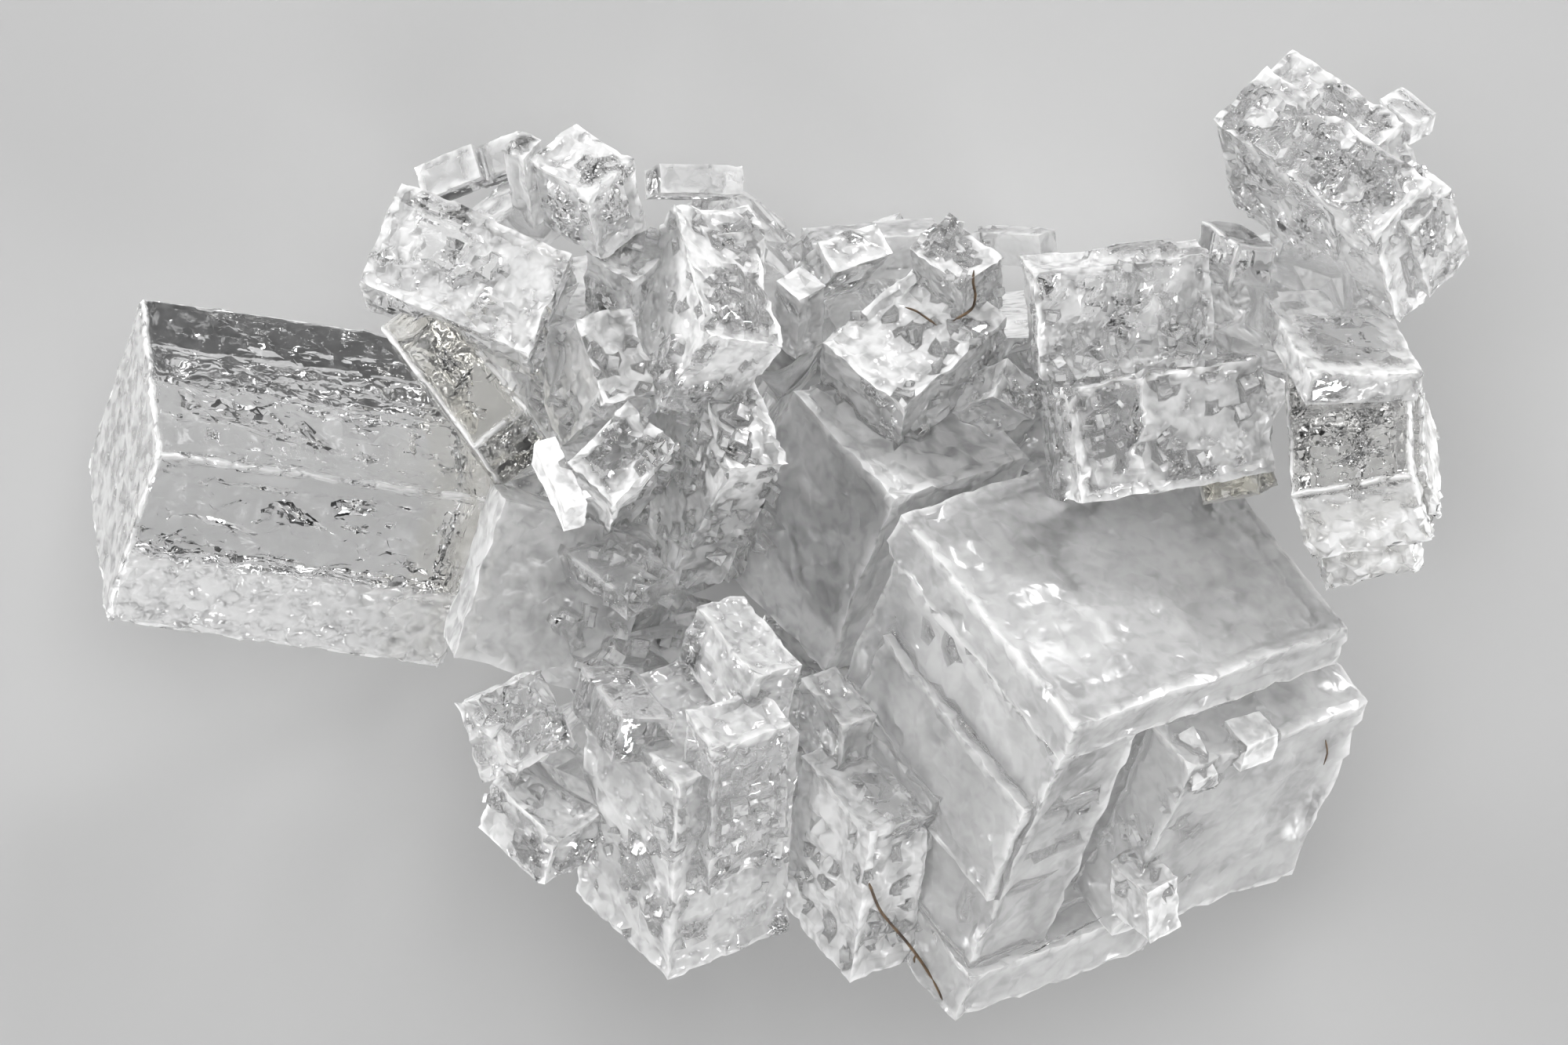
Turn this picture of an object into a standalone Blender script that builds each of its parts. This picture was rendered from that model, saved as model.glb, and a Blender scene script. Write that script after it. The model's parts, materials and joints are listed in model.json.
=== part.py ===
"""A halite crystal cluster: about sixty cubes and boxes of rock salt, grown through each other into one piece.

The cluster lies on its back. +X is its long way, +Y runs across it and +Z is up, out of its best face. The origin
is on the surface that it lies on, under the middle of its box. Sizes are written in millimetres.
"""

import math
import random

import bmesh
import bpy
from mathutils import Euler, Matrix, Vector
from mathutils.bvhtree import BVHTree

MM = 0.001
NODE_NAME = "halite_cluster"

# Growth steps are thin plates on a crystal's faces, square with its edges.
STEP_HEIGHT = (0.02, 0.055)
STEP_SPAN = (0.28, 0.72)
FACE_AREA_PER_STEP = 1.5
MOST_STEPS = 2
PLATE_ROOT = 0.05

# Corners closer together than this are one corner.
WELD = 0.0001

# Chips are flat breaks along a crystal's edges and at its corners.
EDGE_CHIP = (0.012, 0.04)
CORNER_CHIP = (0.03, 0.09)
EDGE_CHIP_SHARE = 0.22
CORNER_CHIP_SHARE = 0.2

# Small cubes that cover the seams between the large crystals.
SEAM_CUBE = (0.07, 0.16)
SEAM_CUBE_SINK = 0.35
SEAM_CUBE_LEAN = 14

# Each crystal is given by its highest corner (x, y, z) and by the three edges that leave this corner, as they look
# from straight above (dx, dy). The edges are square to each other, and that settles how steeply each one falls.
LEFT_CRYSTALS = {
    "long clear box": ((-4.46, 0.53, 3.4), (-0.14, 1.16), (-0.41, -1.23), (2.48, -0.35)),
    "frosted wall": ((-1.94, 0.23, 3.45), (-0.39, -1.19), (1.17, -0.34), (-0.11, 0.14)),
    "upper left block": ((-1.75, 1.22, 3.9), (0.35, 0.78), (-1.29, 0.55), (0.05, -0.22)),
    "clear bar": ((-2.16, 0.56, 3.65), (0.4, 0.3), (0.19, -0.31), (-0.7, 0.9)),
    "back plate": ((-2.11, 2.54, 2.9), (-0.43, -0.18), (-0.07, 0.26), (0.11, -0.05)),
    "second back plate": ((-1.77, 2.66, 2.8), (-0.41, -0.17), (-0.07, 0.24), (0.11, -0.05)),
    "top left cube": ((-1.34, 2.39, 3.95), (0.39, 0.29), (-0.46, 0.3), (0.11, -0.54)),
    "top left splinter": ((-1.8, 2.66, 3.6), (-0.19, 0.07), (0.17, 0.17), (0.1, -0.54)),
}
HEART_CRYSTALS = {
    "small clear box": ((-0.8, 2.42, 3.1), (0.62, -0.01), (-0.01, 0.23), (-0.12, -0.05)),
    "small frosted cube": ((-0.44, 2.13, 3.5), (0.42, 0.05), (-0.12, 0.21), (0.02, -0.4)),
    "rough peak": ((-0.44, 1.38, 4.25), (-0.3, 1.05), (0.63, -0.09), (-0.48, -0.63)),
    "window crystal": ((-1.13, 0.12, 4.05), (-0.39, 0.35), (0.48, 0.5), (-0.05, -0.34)),
    "bright shard": ((-1.49, 0.12, 4.05), (-0.24, 0.5), (0.18, 0.05), (-0.02, -0.17)),
    "dark wedge": ((-1.04, -0.53, 3.7), (-0.46, 0.35), (0.37, 0.2), (0.0, -0.17)),
    "heart slope": ((-0.3, 0.41, 3.9), (-0.4, 0.97), (0.51, 0.06), (-0.51, -0.97)),
    "heart left": ((-1.21, 0.86, 3.75), (-0.23, 0.68), (0.46, 0.11), (-0.34, -0.34)),
    "inner wedge": ((0.52, -1.47, 3.3), (-0.34, 0.4), (0.3, 0.12), (-0.06, -0.51)),
}
MIDDLE_CRYSTALS = {
    "back slab": ((0.3, 2.06, 2.75), (1.0, 0.09), (-0.01, -0.34), (-0.1, 0.14)),
    "back slab end": ((1.95, 2.12, 3.1), (-0.5, 0.03), (0.03, -0.26), (0.14, 0.06)),
    "cube on the back slab": ((0.47, 1.83, 3.25), (0.46, 0.16), (-0.15, 0.26), (-0.19, -0.23)),
    "rough cube": ((1.38, 1.71, 3.5), (-0.46, 0.35), (0.37, 0.3), (0.02, -0.43)),
    "bright block": ((0.96, 0.85, 3.65), (0.8, 0.68), (-0.64, 0.51), (-0.03, -0.41)),
    "round cube": ((0.21, 1.63, 3.35), (-0.2, 0.17), (0.22, 0.13), (-0.03, -0.45)),
    "middle corner": ((1.61, 0.95, 3.5), (0.13, 0.33), (0.33, -0.24), (-0.35, -0.14)),
}
RIGHT_CRYSTALS = {
    "square block": ((2.1, 1.02, 4.1), (1.49, 0.24), (0.13, -0.9), (-0.24, 0.06)),
    "square block top": ((1.88, 1.86, 3.85), (1.34, 0.13), (0.06, -0.85), (-0.1, 0.15)),
    "gap crystal": ((3.39, 2.05, 3.3), (-0.26, 0.2), (0.31, -0.03), (-0.13, -0.57)),
    "small rider": ((4.66, 2.9, 3.75), (-0.26, 0.22), (0.19, 0.1), (-0.03, -0.17)),
    "shelf": ((3.9, 1.1, 4.12), (0.87, 0.02), (-0.34, 0.63), (-0.05, -0.24)),
    "honey cube": ((3.53, 0.36, 3.65), (-0.45, -0.09), (0.14, 0.07), (0.05, -0.22)),
}
FRONT_CRYSTALS = {
    "smooth block": ((0.92, 0.18, 3.72), (-0.8, 0.85), (1.05, 0.34), (-0.55, -1.33)),
    "front step cube": ((2.73, -2.67, 2.85), (-0.3, 0.26), (0.26, 0.14), (0.03, -0.4)),
    "bright front block": ((0.71, -2.23, 3.52), (-0.48, 0.54), (0.51, 0.16), (-0.14, -1.13)),
    "peaked block": ((-0.1, -1.09, 4.2), (-0.48, 0.57), (0.4, 0.09), (-0.14, -0.46)),
    "dark column": ((-0.4, -1.64, 4.45), (-0.26, 0.34), (0.6, 0.23), (-0.07, -1.03)),
    "front left block": ((-0.67, -1.87, 4.1), (-0.72, 0.68), (0.87, 0.36), (-0.09, -1.49)),
    "dark crystal": ((-1.07, -1.39, 3.95), (-0.32, 0.4), (0.41, 0.0), (-0.09, -0.34)),
    "lower left clear cube": ((-2.13, -1.23, 3.85), (-0.24, -0.06), (0.51, 0.26), (0.26, -0.63)),
    "front step wedge": ((3.05, -1.9, 3.3), (-0.2, 0.35), (0.22, 0.12), (0.01, -0.3)),
    "slab cube": ((3.45, -1.6, 3.5), (-0.17, 0.2), (0.28, 0.1), (-0.05, -0.22)),
    "lower left frosted cube": ((-1.54, -2.3, 3.2), (-0.52, 0.49), (0.4, 0.23), (-0.13, -0.38)),
}

# These crystals are built up from parts that share their directions. The biggest cube's body stands back between a
# top slab, a column at its near corner, a ledge along its foot and a block that grew parallel to it. The parts are
# given as shares of the crystal's three edges.
BUILT_UP_CRYSTALS = {
    "biggest cube": (
        ((2.21, -1.47, 4.8), (-1.31, 1.6), (2.08, 0.74), (-0.92, -2.13)),
        {
            "body": ((0.1, 1.0), (0.02, 0.98), (0.02, 0.99)),
            "top slab": ((0.0, 1.0), (0.0, 1.0), (0.0, 0.15)),
            "column": ((0.0, 0.98), (0.0, 0.32), (0.01, 1.0)),
            "foot ledge": ((-0.03, 0.5), (-0.01, 0.7), (0.83, 1.01)),
            "parallel block": ((-0.11, 0.55), (0.42, 1.09), (0.2, 0.82)),
            "side rib": ((0.2, 0.45), (-0.05, 0.3), (0.1, 0.6)),
            "side step": ((0.5, 0.95), (-0.04, 0.3), (0.35, 0.9)),
        },
    ),
    "upper right box": (
        ((4.37, 2.09, 4.3), (-1.23, 0.88), (0.63, 0.6), (0.2, -0.68)),
        {
            "body": ((0.0, 1.0), (0.0, 0.72), (0.0, 1.0)),
            "back half": ((0.3, 0.99), (0.01, 1.0), (0.01, 0.97)),
            "right end": ((-0.03, 0.25), (0.3, 0.86), (0.15, 0.92)),
            "right end, low": ((0.02, 0.5), (0.25, 0.82), (0.5, 1.07)),
        },
    ),
    "hanging box": (
        ((4.66, 0.38, 4.16), (-0.91, -0.16), (-0.03, 0.91), (0.17, -0.49)),
        {
            "body": ((0.0, 1.0), (0.0, 1.0), (0.0, 1.0)),
            "lower step": ((0.2, 0.98), (0.08, 0.9), (0.9, 1.55)),
            "side plate": ((-0.07, 0.2), (0.1, 0.8), (0.15, 0.85)),
        },
    ),
}

# The hidden side. Five leaning crystals were broken off level, and the cluster lies on their flat breaks. Other cubes
# lean between them. Each is given by its centre, its size and its turn about X, Y and Z.
FOOT_CRYSTALS = {
    "heart foot": ((-0.8, 0.45, 1.05), (1.5, 1.35, 2.9), (15, -17, 18)),
    "main foot": ((1.3, -0.4, 0.95), (1.7, 1.5, 2.7), (-13, 11, -24)),
    "back foot": ((1.85, 1.1, 1.1), (1.3, 1.1, 2.8), (9, 16, 8)),
    "front foot": ((-0.5, -1.25, 1.0), (1.15, 1.1, 2.6), (-16, -12, 33)),
    "middle foot": ((0.45, 0.9, 0.85), (1.25, 1.15, 2.5), (12, -9, 55)),
}
FOOT_CRYSTAL_PARTS = (
    ((0.0, 1.0), (0.0, 1.0), (0.0, 1.0)),
    ((-0.06, 0.55), (0.12, 0.85), (0.0, 0.72)),
    ((0.3, 1.05), (0.35, 1.04), (0.0, 0.55)),
)
LEANING_CUBES = {
    "under the upper left block": ((-1.35, 1.25, 2.2), (1.1, 1.1, 1.3), (35, 20, 10)),
    "left of the heart foot": ((-1.4, 0.0, 1.35), (1.15, 1.0, 1.1), (25, 35, 20)),
    "back middle": ((0.65, 1.4, 1.5), (1.2, 1.2, 1.3), (20, -30, 25)),
    "back edge": ((-0.35, 1.9, 2.3), (0.9, 0.8, 1.0), (30, -20, 45)),
    "under the biggest cube": ((2.45, -0.85, 1.15), (1.2, 1.2, 1.2), (-25, 15, 40)),
    "right of the main foot": ((2.65, 0.15, 1.7), (1.2, 1.0, 1.1), (20, -25, 60)),
    "front middle": ((0.35, -1.5, 1.6), (1.1, 1.0, 1.5), (30, 25, -15)),
    "front of the main foot": ((1.5, -2.0, 1.1), (1.1, 1.0, 1.2), (-20, -35, 30)),
    "left middle": ((-1.1, -0.75, 1.9), (1.0, 1.0, 1.3), (40, 10, 20)),
    "lower left": ((-1.4, -1.75, 2.35), (0.9, 0.8, 0.9), (15, 30, 50)),
    "under the square block": ((2.9, 1.05, 2.1), (1.2, 1.1, 1.4), (15, 35, -20)),
    "bridge": ((3.45, 1.62, 2.85), (1.0, 0.5, 0.8), (10, -12, -22)),
    "low bridge": ((3.55, 1.6, 2.2), (0.8, 0.8, 0.9), (40, 15, 10)),
    "under the upper right box": ((4.2, 1.95, 2.75), (0.95, 0.8, 0.9), (25, 40, 15)),
    "back left": ((-1.8, 2.25, 2.75), (0.9, 0.5, 0.7), (20, 30, 35)),
    "behind the hanging box": ((4.25, 0.95, 3.25), (0.7, 0.9, 0.6), (-12, 8, 5)),
}

# Patches where small cubes crowd the surface: the middle of the patch (x, y), its reach and how many there are.
SEAM_PATCHES = {
    "below the window crystal": ((-0.55, 0.1), 0.5, 14),
    "left of the heart": ((-1.5, 1.0), 0.4, 6),
    "above the front left block": ((-1.1, -0.6), 0.45, 9),
    "rough peak": ((-0.5, 1.9), 0.45, 6),
    "front left block, right face": ((-0.2, -2.2), 0.55, 6),
    "step of the square block": ((2.2, 1.1), 0.35, 5),
    "square block": ((2.9, 0.9), 0.55, 5),
    "front step": ((2.8, -2.3), 0.35, 4),
    "upper right box": ((4.3, 2.6), 0.5, 5),
    "right end": ((4.95, 2.1), 0.3, 6),
    "bright block": ((1.2, 1.5), 0.55, 6),
    "top edge": ((0.0, 2.1), 0.25, 4),
}


def corner_frame(corner, plan_edges):
    """The corner and the three real edges of a box whose edges look like plan_edges from straight above."""
    plans = [Vector(edge) for edge in plan_edges]
    edges = []
    for i in range(3):
        j, k = (i + 1) % 3, (i + 2) % 3
        fall = math.sqrt(plans[i].dot(plans[j]) * plans[i].dot(plans[k]) / -plans[j].dot(plans[k]))
        edges.append(Vector((plans[i].x, plans[i].y, -fall)))
    return Vector(corner), edges


def centred_frame(centre, size, turn):
    """The same for a box given by its centre, its size and its turn in degrees."""
    spin = Euler([math.radians(angle) for angle in turn]).to_matrix()
    edges = [spin.col[i] * size[i] for i in range(3)]
    return Vector(centre) - sum(edges, Vector()) / 2, edges


def frame_matrix(frame):
    """Turns shares of the three edges into places in space."""
    corner, edges = frame
    matrix = Matrix((edges[0], edges[1], edges[2])).transposed().to_4x4()
    matrix.translation = corner
    return matrix


def cut_off(bm, point, normal):
    """Cuts a closed mesh flat and takes away the side that the normal points to."""
    geometry = bm.verts[:] + bm.edges[:] + bm.faces[:]
    cut = bmesh.ops.bisect_plane(bm, geom=geometry, plane_co=point, plane_no=normal, clear_outer=True)
    rim = [item for item in cut["geom_cut"] if isinstance(item, bmesh.types.BMEdge)]
    if rim:
        bmesh.ops.holes_fill(bm, edges=rim)


def box_mesh(frame, spans=((0, 1), (0, 1), (0, 1)), chips=(), level_foot=False):
    """A box over the given shares of a frame's edges. Each chip is a plane (point, normal) in shares.

    A level foot ends the box in a flat break at z = 0.
    """
    bm = bmesh.new()
    corners = [bm.verts.new((x, y, z)) for z in spans[2] for y in spans[1] for x in spans[0]]
    for side in ((0, 2, 3, 1), (4, 5, 7, 6), (0, 1, 5, 4), (2, 6, 7, 3), (0, 4, 6, 2), (1, 3, 7, 5)):
        bm.faces.new([corners[i] for i in side])
    for point, normal in chips:
        cut_off(bm, point, normal)
    bm.transform(frame_matrix(frame))
    if level_foot:
        cut_off(bm, (0, 0, 0), (0, 0, -1))
    bmesh.ops.recalc_face_normals(bm, faces=bm.faces)
    mesh = bpy.data.meshes.new("box")
    bm.to_mesh(mesh)
    bm.free()
    return mesh


def random_chips(frame, rng):
    """Flat breaks along some edges and at some corners of a box, each only a few hundredths of a millimetre deep."""
    lengths = [edge.length for edge in frame[1]]
    chips = []
    for along in range(3):
        u, v = (along + 1) % 3, (along + 2) % 3
        for side_u in (0, 1):
            for side_v in (0, 1):
                if rng.random() < EDGE_CHIP_SHARE:
                    depth = rng.uniform(*EDGE_CHIP) * min(1.0, min(lengths))
                    point, normal = [0.5, 0.5, 0.5], [0.0, 0.0, 0.0]
                    for axis, side in ((u, side_u), (v, side_v)):
                        normal[axis] = (2 * side - 1) * lengths[axis] * rng.uniform(0.8, 1.25)
                        point[axis] = side - (2 * side - 1) * depth / lengths[axis]
                    normal[along] = rng.uniform(-0.02, 0.02) * lengths[along]
                    chips.append((point, normal))
    for corner in range(8):
        if rng.random() < CORNER_CHIP_SHARE:
            depth = rng.uniform(*CORNER_CHIP) * min(1.0, min(lengths))
            sides = [(corner >> axis) & 1 for axis in range(3)]
            normal = [(2 * side - 1) * length * rng.uniform(0.6, 1.5) for side, length in zip(sides, lengths)]
            point = [side - (2 * side - 1) * depth / length for side, length in zip(sides, lengths)]
            chips.append((point, normal))
    return chips


def growth_steps(frame, rng, most=MOST_STEPS):
    """Thin plates on the six faces, each set against one or two of the face's edges."""
    lengths = [edge.length for edge in frame[1]]
    for axis in range(3):
        u, v = (axis + 1) % 3, (axis + 2) % 3
        count = min(most, int(lengths[u] * lengths[v] / FACE_AREA_PER_STEP + rng.random()))
        for side in (0, 1):
            for _ in range(count):
                spans = [None, None, None]
                height = rng.uniform(*STEP_HEIGHT) / lengths[axis]
                root = PLATE_ROOT / lengths[axis]
                spans[axis] = (1 - root, 1 + height) if side else (-height, root)
                for across in (u, v):
                    share = rng.uniform(*STEP_SPAN)
                    inset = rng.uniform(0.01, 0.05)
                    start = rng.choice((inset, 1 - inset - share, rng.uniform(0.1, 0.9 - share)))
                    spans[across] = (start, start + share)
                yield box_mesh(frame, spans)


def shell_object(name, mesh, collection):
    """Puts a mesh in a collection as an object, for a Boolean to read."""
    shell = bpy.data.objects.new(name, mesh)
    collection.objects.link(shell)
    return shell


def joined(name, meshes):
    """One mesh with everything that the given overlapping closed meshes cover."""
    parts = bpy.data.collections.new(name)
    bpy.context.scene.collection.children.link(parts)
    first = shell_object(name, meshes[0], bpy.context.scene.collection)
    for mesh in meshes[1:]:
        shell_object(name, mesh, parts)
    union = first.modifiers.new("grown together", "BOOLEAN")
    union.operation = "UNION"
    union.solver = "EXACT"
    union.operand_type = "COLLECTION"
    union.collection = parts
    result = bpy.data.meshes.new_from_object(first.evaluated_get(bpy.context.evaluated_depsgraph_get()))
    for shell in [first, *parts.objects]:
        bpy.data.objects.remove(shell)
    bpy.data.collections.remove(parts)
    return result


def one_clean_shell(mesh):
    """The mesh's outer shell alone, with its sealed pockets filled and its tiniest edges welded."""
    bm = bmesh.new()
    bm.from_mesh(mesh)
    bmesh.ops.remove_doubles(bm, verts=bm.verts, dist=WELD)
    bmesh.ops.dissolve_degenerate(bm, dist=WELD, edges=bm.edges)
    unseen = set(bm.verts)
    shells = []
    while unseen:
        shell = {unseen.pop()}
        front = list(shell)
        while front:
            near = {edge.other_vert(vert) for vert in front for edge in vert.link_edges} - shell
            shell |= near
            front = list(near)
        unseen -= shell
        shells.append(shell)
    outer = max(shells, key=len)
    bmesh.ops.delete(bm, geom=[vert for vert in bm.verts if vert not in outer], context="VERTS")
    bmesh.ops.triangulate(bm, faces=bm.faces)
    bm.to_mesh(mesh)
    bm.free()


def large_crystals():
    """The meshes of every large crystal with its chips and growth steps, from the left of the cluster to the right."""
    meshes = []
    for number, group in enumerate((LEFT_CRYSTALS, HEART_CRYSTALS, MIDDLE_CRYSTALS, RIGHT_CRYSTALS, FRONT_CRYSTALS)):
        rng = random.Random(number)
        for corner, *plan_edges in group.values():
            frame = corner_frame(corner, plan_edges)
            meshes.append(box_mesh(frame, chips=random_chips(frame, rng)))
            meshes.extend(growth_steps(frame, rng))
    rng = random.Random(41)
    for (corner, *plan_edges), parts in BUILT_UP_CRYSTALS.values():
        frame = corner_frame(corner, plan_edges)
        meshes.extend(box_mesh(frame, spans) for spans in parts.values())
        meshes.extend(growth_steps(frame, rng))
    return meshes


def hidden_crystals():
    """The crystals with a flat foot and the leaning cubes of the hidden side."""
    rng = random.Random(7)
    meshes = []
    for centre, size, turn in FOOT_CRYSTALS.values():
        frame = centred_frame(centre, size, turn)
        meshes.extend(box_mesh(frame, spans, level_foot=True) for spans in FOOT_CRYSTAL_PARTS)
    for centre, size, turn in LEANING_CUBES.values():
        frame = centred_frame(centre, size, turn)
        meshes.append(box_mesh(frame, chips=random_chips(frame, rng)))
        meshes.extend(growth_steps(frame, rng, most=1))
    return meshes


def seam_cubes(cluster):
    """Small cubes that sit a little sunk in the cluster's upper surface, in the patches where they crowd."""
    surface = BVHTree.FromPolygons([v.co for v in cluster.vertices], [p.vertices for p in cluster.polygons])
    rng = random.Random(31)
    meshes = []
    for (x, y), reach, count in SEAM_PATCHES.values():
        patch_turn = [rng.uniform(0, 90) for _ in range(3)]
        for _ in range(count):
            bearing, distance = rng.uniform(0, 2 * math.pi), reach * math.sqrt(rng.random())
            above = Vector((x + distance * math.cos(bearing), y + distance * math.sin(bearing), 10))
            size = [rng.uniform(*SEAM_CUBE) for _ in range(3)]
            turn = [angle + rng.uniform(-SEAM_CUBE_LEAN, SEAM_CUBE_LEAN) for angle in patch_turn]
            place, normal, _, _ = surface.ray_cast(above, Vector((0, 0, -1)))
            if place is not None:
                centre = place + normal * (0.5 - SEAM_CUBE_SINK) * min(size)
                meshes.append(box_mesh(centred_frame(centre, size, turn)))
    return meshes


def salt_material():
    """Clear to milky rock salt: glass with a rough skin."""
    salt = bpy.data.materials.new("salt")
    salt.use_nodes = True
    shader = salt.node_tree.nodes["Principled BSDF"]
    shader.inputs["Base Color"].default_value = (0.9, 0.91, 0.91, 1)
    shader.inputs["Roughness"].default_value = 0.18
    shader.inputs["Metallic"].default_value = 0.0
    shader.inputs["IOR"].default_value = 1.544
    shader.inputs["Transmission Weight"].default_value = 1.0
    return salt


def clear_scene():
    for item in list(bpy.data.objects):
        bpy.data.objects.remove(item)


def centre_on_box(mesh):
    """Moves the mesh so that the origin is under the middle of its box."""
    low = Vector([min(v.co[axis] for v in mesh.vertices) for axis in range(3)])
    high = Vector([max(v.co[axis] for v in mesh.vertices) for axis in range(3)])
    middle = (low + high) / 2
    mesh.transform(Matrix.Translation((-middle.x, -middle.y, -low.z)))


clear_scene()
rough_cluster = joined("large crystals", large_crystals() + hidden_crystals())
whole_cluster = joined("with seam cubes", [rough_cluster, *seam_cubes(rough_cluster)])
one_clean_shell(whole_cluster)
centre_on_box(whole_cluster)
whole_cluster.transform(Matrix.Scale(MM, 4))
whole_cluster.materials.clear()
whole_cluster.materials.append(salt_material())
halite = bpy.data.objects.new(NODE_NAME, whole_cluster)
bpy.context.scene.collection.objects.link(halite)
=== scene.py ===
"""A halite crystal cluster, dressed: clear, frosted and milky cubes of rock salt on a pale floor.

It is seen from above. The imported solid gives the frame. Sizes are written in millimetres.
"""

import json
import math

import bmesh
import bpy
import numpy as np
from mathutils import Euler, Matrix, Vector
from mathutils.bvhtree import BVHTree

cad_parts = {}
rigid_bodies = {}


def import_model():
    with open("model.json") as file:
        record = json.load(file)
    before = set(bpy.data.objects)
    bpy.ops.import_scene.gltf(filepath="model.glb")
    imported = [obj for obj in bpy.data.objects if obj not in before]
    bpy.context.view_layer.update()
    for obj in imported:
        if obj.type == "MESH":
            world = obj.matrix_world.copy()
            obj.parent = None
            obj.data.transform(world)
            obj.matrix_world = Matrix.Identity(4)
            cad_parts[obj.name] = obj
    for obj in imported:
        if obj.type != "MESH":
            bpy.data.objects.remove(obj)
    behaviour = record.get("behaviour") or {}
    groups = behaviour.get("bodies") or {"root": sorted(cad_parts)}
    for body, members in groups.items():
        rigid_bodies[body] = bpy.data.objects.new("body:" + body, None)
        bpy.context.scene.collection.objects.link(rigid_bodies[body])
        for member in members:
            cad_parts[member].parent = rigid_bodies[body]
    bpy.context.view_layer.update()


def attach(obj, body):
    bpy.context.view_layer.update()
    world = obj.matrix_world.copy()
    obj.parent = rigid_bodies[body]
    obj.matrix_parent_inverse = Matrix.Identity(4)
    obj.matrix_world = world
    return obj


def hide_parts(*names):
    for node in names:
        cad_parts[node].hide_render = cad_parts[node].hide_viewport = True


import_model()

# The view. The cluster lies on its back and is looked at from straight above, through a very long lens,
# so that its cubes keep their true directions.
MM = 0.001
VIEW_WIDTH = 11.4
VIEW_CENTRE = (0.037, 0.09)
VIEW_HEIGHT = 260
# The view is VIEW_WIDTH wide at this height above the floor.
TRUE_SCALE_HEIGHT = 3.0
SENSOR_WIDTH = 36
CLIP_RANGE = (10, 10000)

camera_data = bpy.data.cameras.new("camera")
camera_data.sensor_width = SENSOR_WIDTH
camera_data.lens = SENSOR_WIDTH * (VIEW_HEIGHT - TRUE_SCALE_HEIGHT) / VIEW_WIDTH
camera_data.clip_start, camera_data.clip_end = (distance * MM for distance in CLIP_RANGE)
camera = bpy.data.objects.new("camera", camera_data)
camera.location = Vector((*VIEW_CENTRE, VIEW_HEIGHT)) * MM
bpy.context.scene.collection.objects.link(camera)
bpy.context.scene.camera = camera


# The floor. A plain pale matt sheet that the cluster lies on, a hair's breadth under its flat breaks.
class Socket:
    """One socket of a material's node tree. Sums, products and differences of sockets add their own nodes."""

    def __init__(self, tree, output):
        self.tree = tree
        self.output = output

    def node(self, kind, settings=None, **inputs):
        """A new node: its settings first, then the values or links of its sockets, by name."""
        node = self.tree.nodes.new(kind)
        for name, value in (settings or {}).items():
            setattr(node, name, value)
        for name, value in inputs.items():
            socket = node.inputs[int(name[1:])] if name[1:].isdigit() else node.inputs[name.replace("_", " ")]
            if isinstance(value, Socket):
                self.tree.links.new(value.output, socket)
            else:
                socket.default_value = value
        return node

    def value(self, kind, output=0, settings=None, **inputs):
        """One output of a new node."""
        return Socket(self.tree, self.node(kind, settings, **inputs).outputs[output])

    def maths(self, operation, *values):
        inputs = {f"_{number}": value for number, value in enumerate(values)}
        return self.value("ShaderNodeMath", settings={"operation": operation}, **inputs)

    def __add__(self, other):
        return self.maths("ADD", self, other)

    def __sub__(self, other):
        return self.maths("SUBTRACT", self, other)

    def __mul__(self, other):
        return self.maths("MULTIPLY", self, other)

    def __rsub__(self, other):
        return self.maths("SUBTRACT", other, self)

    __radd__ = __add__
    __rmul__ = __mul__

    def between(self, low, high):
        """0 below low, 1 above high and smooth between them."""
        settings = {"interpolation_type": "SMOOTHSTEP"}
        return self.value("ShaderNodeMapRange", settings=settings, Value=self, From_Min=low, From_Max=high)

    def mixed(self, first, second):
        """The first colour where this is 0, and the second where it is 1."""
        settings = {"data_type": "RGBA"}
        return self.value("ShaderNodeMix", 2, settings, _0=self, _6=first, _7=second)


def new_material(name):
    """A material with an empty node tree, and a socket holder to build it with."""
    material = bpy.data.materials.new(name)
    material.use_nodes = True
    material.node_tree.nodes.clear()
    return material, Socket(material.node_tree, None)


FLOOR_SIZE = 900
FLOOR_GAP = 0.004
FLOOR_COLOUR = (0.46, 0.46, 0.46, 1)
FLOOR_ROUGHNESS = 0.9

floor_mesh = bpy.data.meshes.new("floor")
floor_corners = [
    (x * FLOOR_SIZE / 2, y * FLOOR_SIZE / 2, -FLOOR_GAP) for x, y in ((-1, -1), (1, -1), (1, 1), (-1, 1))
]
floor_mesh.from_pydata(floor_corners, [], [(0, 1, 2, 3)])
floor_mesh.transform(Matrix.Scale(MM, 4))
floor_material, floor_nodes = new_material("matt paper")
paper = floor_nodes.value("ShaderNodeBsdfPrincipled", Base_Color=FLOOR_COLOUR, Roughness=FLOOR_ROUGHNESS)
floor_nodes.node("ShaderNodeOutputMaterial", Surface=paper)
floor_mesh.materials.append(floor_material)
floor = bpy.data.objects.new("floor", floor_mesh)
bpy.context.scene.collection.objects.link(floor)


# The lights. Soft boxes stand low around the cluster, so that they shine into the crystals from the side,
# and a dim room above them leaves dark windows between.
ROOM_COLOUR = (0.93, 0.96, 1.0, 1)
ROOM_STRENGTH = 0.02
# Each box: bearing from +X and height angle in degrees, distance, width, height and radiance.
SOFT_BOXES = {
    "left": (168, 13, 90, 46, 8, 50.0),
    "back left": (124, 19, 90, 36, 6, 48.0),
    "back": (80, 22, 90, 14, 6, 60.0),
    "back right": (50, 14, 90, 36, 8, 50.0),
    "right": (-8, 15, 90, 36, 8, 46.0),
    "front": (-48, 17, 90, 36, 6, 42.0),
    "front left": (-122, 17, 90, 36, 6, 60.0),
    "top": (100, 78, 110, 60, 60, 5.0),
}

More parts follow.
